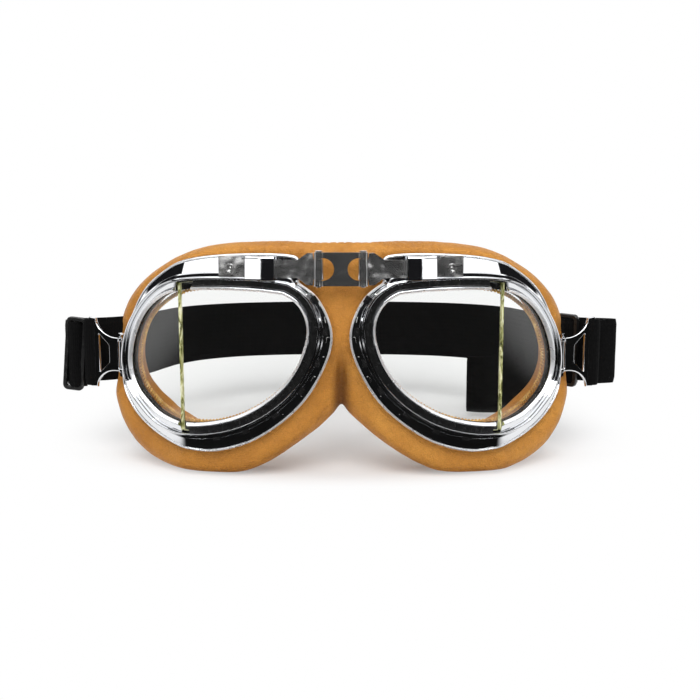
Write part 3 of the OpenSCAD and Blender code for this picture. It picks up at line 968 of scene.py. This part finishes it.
def strap():
    steps = 14
    side_line, rear_half, tail = [route(points, steps) for points in (STRAP_SIDE, STRAP_REAR, STRAP_TAIL)]
    # indices where one piece ends and the next begins
    clip_end, frame_end, arm_end = 5 * steps, int(6.3 * steps), 7 * steps
    rear_start, bend_end, root_end = int(3.2 * steps), steps, 3 * steps
    lengths = np.concatenate([[0], np.cumsum(np.linalg.norm(np.diff(side_line, axis=0), axis=1))])

    def bending(name, line, last_body, first_body, side=1, start=0.0):
        """Webbing along the line, its placement baked into the mesh. last_body and first_body are not used."""
        piece = webbing(name, line, side, start)
        row_point(line[-1], side)
        row_point(line[0], side)
        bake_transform(piece)

    for side_name, side in SIDES.items():
        clip, shell, arm = ["%s_%s" % (body, side_name) for body in ("clip", "frame", "arm")]
        fold = webbing("strap_fold_" + side_name, side_line[:clip_end + 1], side)
        ride(fold, clip, "webbing", "strap_side_" + side_name)
        long_line = np.vstack([side_line[arm_end:-1], rear_half[:rear_start + 1]])
        for letter, line, last_body, first_body, start in (
                ("a", side_line[clip_end:frame_end + 1], shell, clip, clip_end),
                ("b", side_line[frame_end:arm_end + 1], arm, shell, frame_end),
                ("c", long_line, "bridge", arm, arm_end)):
            bending("strap_run_%s_%s" % (letter, side_name), line, last_body, first_body, side, lengths[start])
    middle = rear_half[rear_start:]
    other = middle[::-1][1:] * np.array([-1, 1, 1])
    ride(webbing("strap_rear_run", np.vstack([middle, other])), "bridge", "webbing", "strap_rear")
    bending("strap_tail_root", tail[:bend_end + 1], "arm_right", "frame_right")
    bending("strap_tail_middle", tail[bend_end:root_end + 1], "bridge", "arm_right")
    ride(webbing("strap_tail_end", tail[root_end:]), "bridge", "webbing", "strap_tail")


CLIP_AT, CLIP_HEADING, CLIP_Z = np.array([93.2, 37.4]), 28, 46


def placed(points, at_xy, heading, tilt, z):
    """Local [along, across, up] points turned by tilt and heading (degrees) and moved into the design frame."""
    c, k = math.cos(math.radians(heading)), math.sin(math.radians(heading))
    ct, kt = math.cos(math.radians(tilt)), math.sin(math.radians(tilt))
    out = []
    for x, y, h in points:
        x, h = x * ct + h * kt, h * ct - x * kt
        out.append((at_xy[0] + x * c - y * k, at_xy[1] + x * k + y * c, z + h))
    return np.array(out)


def round_corners(points, radius, steps=4):
    pts = [np.array(q, float) for q in points]
    out = []
    for i, p in enumerate(pts):
        before, after = pts[i - 1] - p, pts[(i + 1) % len(pts)] - p
        lb, la = np.linalg.norm(before), np.linalg.norm(after)
        cut = min(radius, 0.45 * lb, 0.45 * la)
        b, a = p + before / lb * cut, p + after / la * cut
        for k in range(steps + 1):
            f = k / steps
            out.append(tuple((1 - f) ** 2 * b + 2 * f * (1 - f) * p + f * f * a))
    return out


def plate(outlines, thick, edge):
    """A flat plate with rounded edges from an outline and its holes: [along, across, up] points and faces."""
    cu = bpy.data.curves.new("plate", "CURVE")
    cu.dimensions, cu.fill_mode = "2D", "BOTH"
    cu.extrude, cu.bevel_depth, cu.bevel_resolution, cu.offset = thick / 2 - edge, edge, 3, -edge
    for outline in outlines:
        sp = cu.splines.new("POLY")
        sp.points.add(len(outline) - 1)
        for point, q in zip(sp.points, outline):
            point.co = (q[0], q[1], 0, 1)
        sp.use_cyclic_u = True
    tmp = add_object("plate", cu)
    dg = bpy.context.evaluated_depsgraph_get()
    me = bpy.data.meshes.new_from_object(tmp.evaluated_get(dg))
    bm = bmesh.new()
    bm.from_mesh(me)
    bmesh.ops.remove_doubles(bm, verts=bm.verts, dist=1e-4)
    verts = np.array([(v.co.x, v.co.z, v.co.y) for v in bm.verts])
    bm.verts.index_update()
    faces = [tuple(v.index for v in f.verts) for f in bm.faces]
    bm.free()
    bpy.data.objects.remove(tmp)
    bpy.data.meshes.remove(me)
    bpy.data.curves.remove(cu)
    return verts, faces


def strap_clip(side_name):
    """Stamped clip: hinge end with a slot showing the bar, concave sides, trapezoid window and strap slot."""
    half = [(-1.9, 7.2), (1.4, 7.2)]
    half += [(2.5 + 10.5 * math.sin(math.radians(a)), 15.2 - 8 * math.cos(math.radians(a)))
             for a in range(4, 91, 6)]
    half += [(16.4, 15.2), (17.2, 14.4)]
    outline = half + [(x, -z) for x, z in half[::-1]]
    window = round_corners([(6.2, 3.6), (11.6, 8.4), (11.6, -8.4), (6.2, -3.6)], 0.9)
    slot = round_corners([(14.3, 14.1), (15.9, 14.1), (15.9, -14.1), (14.3, -14.1)], 0.5)
    hinge = round_corners([(-1.2, 6.0), (1.2, 6.0), (1.2, -6.0), (-1.2, -6.0)], 0.6)
    parts = [plate([outline, window, slot, hinge], 1.4, 0.42)]
    knuckle = ((-0.65, 1.05), (-0.65, 1.25), (-0.5, 1.4), (0.5, 1.4), (0.65, 1.25), (0.65, 1.05))
    for z in (-6.6, 6.6):
        points = [(r * math.cos(a), r * math.sin(a), z + h) for h, r in knuckle for a in angles(24)]
        parts.append((points, ring_faces(len(knuckle), 24)))
    moved = [(placed(v, CLIP_AT, CLIP_HEADING, 0, CLIP_Z), f) for v, f in parts]
    name = "strap_clip_" + side_name
    obj = joined(name, moved, [CHROME], SIDES[side_name])
    smooth_by_angle(obj, 40)
    flat_faces(obj)
    ride(obj, "clip_" + side_name, "chrome", name)


BRIDGE_TILT = math.radians(8)


def bridge_sleeve(side_name):
    """Folded box loop with a slightly crowned front that the arm slides in."""
    section = [(-3.05, 81.7), (-5.3, 81.7), (-4.55, 91.1), (-1.5, 91.1), (-1.5, 82.75), (-2.65, 82.75),
               (-2.65, 90.0), (-4.13, 90.0), (-4.13, 82.8), (-3.05, 82.8)]
    radii = [0.25, 0.8, 0.9, 0.7, 0.3, 0.1, 0.3, 0.3, 0.3, 0.25]
    points = []
    for i, q in enumerate(section):
        tri = [section[i - 1], q, section[(i + 1) % len(section)]]
        points += round_corners(tri, radii[i])[5:10]
    c, k = math.cos(BRIDGE_TILT), math.sin(BRIDGE_TILT)
    rings = []
    for f in np.linspace(-1, 1, 13):
        u = 25.4 + 5.7 * (1 + f)
        ring = []
        for y, z in points:
            y -= 0.32 * (1 - f * f) if y < -4.3 else 0
            ring.append((u * c - y * k, u * k + y * c, z))
        rings.append(ring)
    name = "bridge_sleeve_" + side_name
    obj = skin(name, rings, [CHROME], SIDES[side_name], closed=False, auto=45)
    bevel(obj, 0.14, 2, 50)
    flat_faces(obj)
    ride(obj, "frame_" + side_name, "chrome", name)


def strap_loop(side_name):
    """Webbing sewn round the outer bar of the clip."""
    ring = []
    for k in range(40):
        a = 2 * math.pi * k / 40
        squash = 1 + 0.10 * math.cos(2 * a)
        ring.append((16.65 + 1.95 * squash * math.cos(a), 1.95 * math.sin(a), 0))
    line = placed(ring, CLIP_AT, CLIP_HEADING, 0, CLIP_Z)
    obj = webbing("strap_loop_" + side_name, line, SIDES[side_name], width=28.6, thick=1.5, closed=True)
    ride(obj, "clip_" + side_name, "webbing", "strap_loop_" + side_name)


def rounded_outline(width, height, radius, steps=6):
    out = []
    for cx, cz, start in ((1, 1, 0), (-1, 1, 90), (-1, -1, 180), (1, -1, 270)):
        for k in range(steps + 1):
            a = math.radians(start + 90 * k / steps)
            out.append((cx * (width / 2 - radius) + radius * math.cos(a),
                        cz * (height / 2 - radius) + radius * math.sin(a)))
    return out


SLIDER_Z = 44.4


def strap_slider(side_name, at_xy, heading, tilt, width):
    """Moulded adjuster with rounded corners, and the webbing that runs over its middle bar."""
    side = SIDES[side_name]
    outer = rounded_outline(width, 32.2, 2.2)
    inner = rounded_outline(width - 3.2, 28.4, 0.9)
    section = [(outer, 0.35, -0.95), (outer, 0.0, -0.6), (outer, 0.0, 0.6), (outer, 0.35, 0.95),
               (inner, -0.3, 0.95), (inner, 0.0, 0.6), (inner, 0.0, -0.6), (inner, -0.3, -0.95)]
    rings = []
    for k in range(len(outer)):
        ring = []
        for outline, inset, y in section:
            x, z = outline[k]
            r = math.hypot(x, z)
            ring.append((x - x / r * inset, y, z - z / r * inset))
        rings.append(placed(ring, at_xy, heading, tilt, SLIDER_Z))
    name = "strap_slider_" + side_name
    obj = skin(name, rings, [BLACK_METAL], side, auto=40)
    ride(obj, "clip_" + side_name, "black_metal", name)
    bar = [(0.9 * math.cos(a), 0.55 * math.sin(a)) for a in np.linspace(0, 2 * math.pi, 24, endpoint=False)]
    rod = [placed([(x, y, z) for x, y in bar], at_xy, heading, tilt, SLIDER_Z) for z in (-14.8, 14.8)]
    obj = skin("slider_bar_" + side_name, rod, [BLACK_METAL], side, closed=False)
    ride(obj, "clip_" + side_name, "black_metal")
    half = width / 2 - 1.0
    path = [(half + 0.6, 1.7, 0), (half * 0.85, 0.7, 0), (half * 0.5, -0.9, 0), (0, -1.75, 0),
            (-half * 0.5, -0.9, 0), (-half * 0.85, 0.7, 0), (-half - 0.6, 1.7, 0)]
    line = placed(route(np.array(path, float)[::-1], 6), at_xy, heading, tilt, SLIDER_Z)
    wrap_piece = webbing("slider_wrap_" + side_name, line, side, width=28.3, thick=1.3)
    ride(wrap_piece, "clip_" + side_name, "webbing")


def stop_dimple(side_name):
    """Pressed dimple that fills the round hole of the arm's stop plate."""
    side = SIDES[side_name]
    c, k = math.cos(BRIDGE_TILT), math.sin(BRIDGE_TILT)
    u0, w0, z0 = 42.9, 3.35, 86.4
    rings = []
    for r, w in ((0.05, 0.35), (0.35, 0.33), (0.55, 0.2), (0.75, -0.1), (1.0, -0.15), (1.28, 0.42),
                 (1.5, 0.72), (1.75, 0.66), (1.80, 0.5), (1.28, 0.2), (1.2, -0.5), (0.05, -0.5)):
        ring = []
        for a in angles(28):
            u, z = u0 + r * math.cos(a), z0 + r * math.sin(a)
            ring.append((u * c + (w0 + w) * k, u * k - (w0 + w) * c, z))
        rings.append(ring)
    obj = skin("stop_dimple_" + side_name, rings, [STEEL], side, closed=False)
    ride(obj, "arm_" + side_name, "bridge_steel")


# ---- kept CAD hardware
def finish_cad():
    looks = {"bridge_link": STEEL, "bridge_arm": STEEL, "hinge_pin": STEEL, "clip_bar": CHROME,
             "rim_tabs": DARK}
    for name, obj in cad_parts.items():
        base = name.replace("_left", "").replace("_right", "")
        if base not in looks:
            continue
        obj.data.materials.clear()
        obj.data.materials.append(looks[base])
        bevel(obj, 0.28, 3, 35)
        obj.modifiers.new("shade", "WEIGHTED_NORMAL")


# ---- stage, light and camera
def world_light():
    """Changes with the kind of ray: white to the camera, a dimmer sky to diffuse rays, and to mirror rays a
    room that is almost black in front with a pale wall in it."""
    world = bpy.data.worlds.new("soft_studio")
    bpy.context.scene.world = world
    n = Nodes("", world)
    x, y, z = n.xyz(n.add("ShaderNodeTexCoord").outputs["Generated"])
    turn = n.math("ARCTAN2", n.math("ABSOLUTE", x), n.product(y, -1.0))
    below_lights = n.one_minus(n.step(z, 0.66, 0.72))
    front = n.one_minus(n.step(turn, 1.84, 1.94))
    wall = n.product(n.step(turn, 0.325, 0.34), n.one_minus(n.step(turn, 0.62, 0.68)), n.step(z, -0.06, -0.02),
                     n.one_minus(n.step(z, 0.16, 0.22)))
    side_band = n.product(n.step(z, 0.24, 0.30), below_lights)
    dark = n.math("MAXIMUM", n.product(front, below_lights, n.one_minus(wall)), side_band)
    plain, room, soft = [n.add("ShaderNodeBackground", Color=(1, 1, 1, 1)) for _ in range(3)]
    n.link(n.mix(dark, (1.45, 1.45, 1.45, 1), (0.010, 0.010, 0.011, 1)), room.inputs["Color"])
    n.link(n.grey(n.step(z, 0.0, 1.0), 0.0, 1.0, 0.16, 0.52), soft.inputs["Color"])
    rays = n.add("ShaderNodeLightPath").outputs
    seen = n.mix_shader(rays["Is Glossy Ray"], plain.outputs[0], room.outputs[0])
    lit = n.mix_shader(rays["Is Diffuse Ray"], seen, soft.outputs[0])
    n.link(lit, n.tree.nodes["World Output"].inputs["Surface"])


def stage_and_light():
    s = 8.0
    corners = [(-s, -s, 0), (s, -s, 0), (s, s, 0), (-s, s, 0)]
    floor = new_mesh("floor", corners, [(0, 1, 2, 3)], [floor_material()], smooth=False)

    world_light()

    def area(name, place, target, size, power, size_y):
        light = bpy.data.lights.new(name, "AREA")
        light.shape, light.energy, light.size, light.size_y = "RECTANGLE", power, size, size_y
        obj = add_object(name, light)
        obj.location = place
        obj.rotation_euler = (Vector(target) - Vector(place)).to_track_quat("-Z", "Y").to_euler()

    area("key_softbox", (0, -0.78, 0.76), (0, 0, 0.03), 0.75, 7.4, 0.6)
    area("overhead_softbox", (0, 0.05, 1.1), (0, 0, 0), 0.7, 2.6, 0.7)
    area("left_softbox", (-0.9, -0.15, 0.7), (0, 0, 0.04), 0.5, 1.0, 0.5)
    area("right_softbox", (0.9, -0.15, 0.7), (0, 0, 0.04), 0.5, 1.0, 0.5)


def camera():
    """Looks slightly down on the lenses from a little under half a metre."""
    distance, elevation = 0.450, math.radians(10)
    metres_per_pixel, image_width, sensor_width = 0.00039, 700, 36
    target = Vector((3.5 * MM, FACE_Y * MM, 54.6 * MM))
    data = bpy.data.cameras.new("camera")
    data.sensor_width = sensor_width
    data.lens = sensor_width * (distance / metres_per_pixel) / image_width
    data.clip_start = 0.01
    obj = add_object("camera", data)
    obj.location = target + Vector((0, -math.cos(elevation), math.sin(elevation))) * distance
    obj.rotation_euler = (target - obj.location).to_track_quat("-Z", "Y").to_euler()
    bpy.context.scene.camera = obj


bpy.context.scene.view_settings.view_transform = "Standard"
camera()
stage_and_light()
for side_name in SIDES:
    frame_shell(side_name)
    lens_seat(side_name)
    rim("front_rim", side_name, FRONT_ENDS)
    rim("side_rim", side_name, SIDE_ENDS)
    pane("front_lens", side_name, -1, 8, 0)
    pane("side_lens", side_name, 1, 40, 66)
    flange_slits(side_name)
    stitches(side_name)
    strap_loop(side_name)
    stop_dimple(side_name)
    strap_clip(side_name)
    bridge_sleeve(side_name)
strap_slider("left", (115.5, 48.9), 8, -5.5, 9.2)
strap_slider("right", (99, 58.1), -44, 0, 11)
leather()
strap()
finish_cad()
